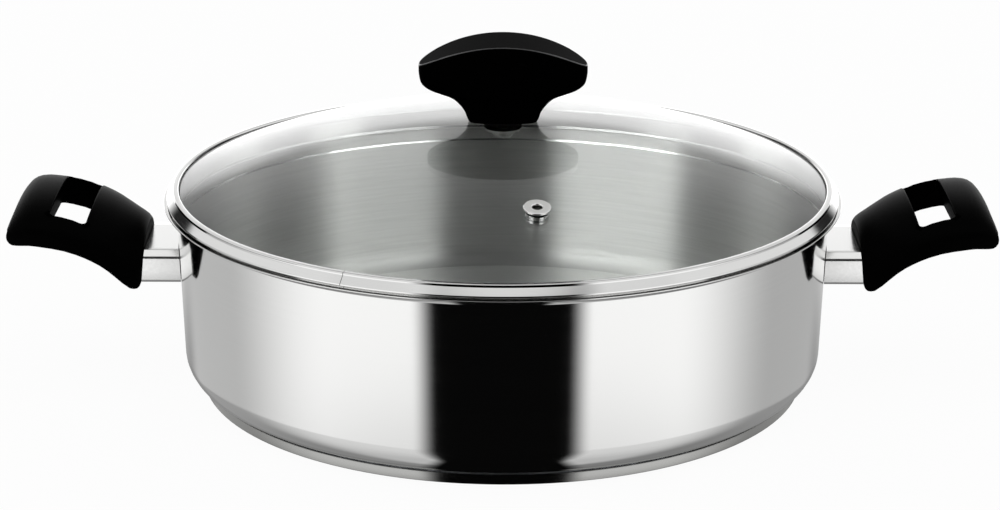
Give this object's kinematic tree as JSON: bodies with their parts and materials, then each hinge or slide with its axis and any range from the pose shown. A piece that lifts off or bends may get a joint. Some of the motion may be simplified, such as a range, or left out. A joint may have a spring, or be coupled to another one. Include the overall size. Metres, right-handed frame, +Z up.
{
  "type": "casserole pot with lid",
  "caption": "Low round stainless steel casserole with black side handles and a domed glass lid with a steel rim, black knob and steam vent.",
  "frame": {"origin": "centre of the base's underside, on the pot's axis, where the pot stands", "axes": "+Z up along the pot's axis, +X along the line through both handles, -Y towards the viewer of the picture"},
  "size_m": [0.4202, 0.292, 0.1499],
  "materials": {
    "polished_steel": "mirror polished stainless steel",
    "brushed_steel": "fine brushed stainless steel",
    "aluminium": "rolled",
    "brass": "turned",
    "bakelite": "moulded satin",
    "silicone": "moulded matt",
    "glass": "clear tempered"
  },
  "bodies": {
    "pot": {"pot_body": "polished_steel", "base_core_disc": "aluminium", "base_cap": "brushed_steel", "handle_bracket_right": "brushed_steel", "bracket_nut_right": "brushed_steel", "flame_guard_right": "polished_steel", "handle_grip_right": "bakelite", "handle_washer_right": "brushed_steel", "handle_screw_right": "brushed_steel", "handle_bracket_left": "brushed_steel", "bracket_nut_left": "brushed_steel", "flame_guard_left": "polished_steel", "handle_grip_left": "bakelite", "handle_washer_left": "brushed_steel", "handle_screw_left": "brushed_steel"},
    "lid": {"lid_glass": "glass", "lid_rim_band": "polished_steel", "knob": "bakelite", "knob_insert": "brass", "knob_seal": "silicone", "under_seal": "silicone", "under_washer": "brushed_steel", "knob_screw": "brushed_steel", "vent_eyelet": "polished_steel", "vent_grommet": "silicone", "vent_collar": "brushed_steel"}
  },
  "joints": [
    {"name": "lid_lift", "type": "slide", "parent": "pot", "child": "lid", "axis": [0, 0, 1], "range_m": [0, 0.15]}
  ]
}
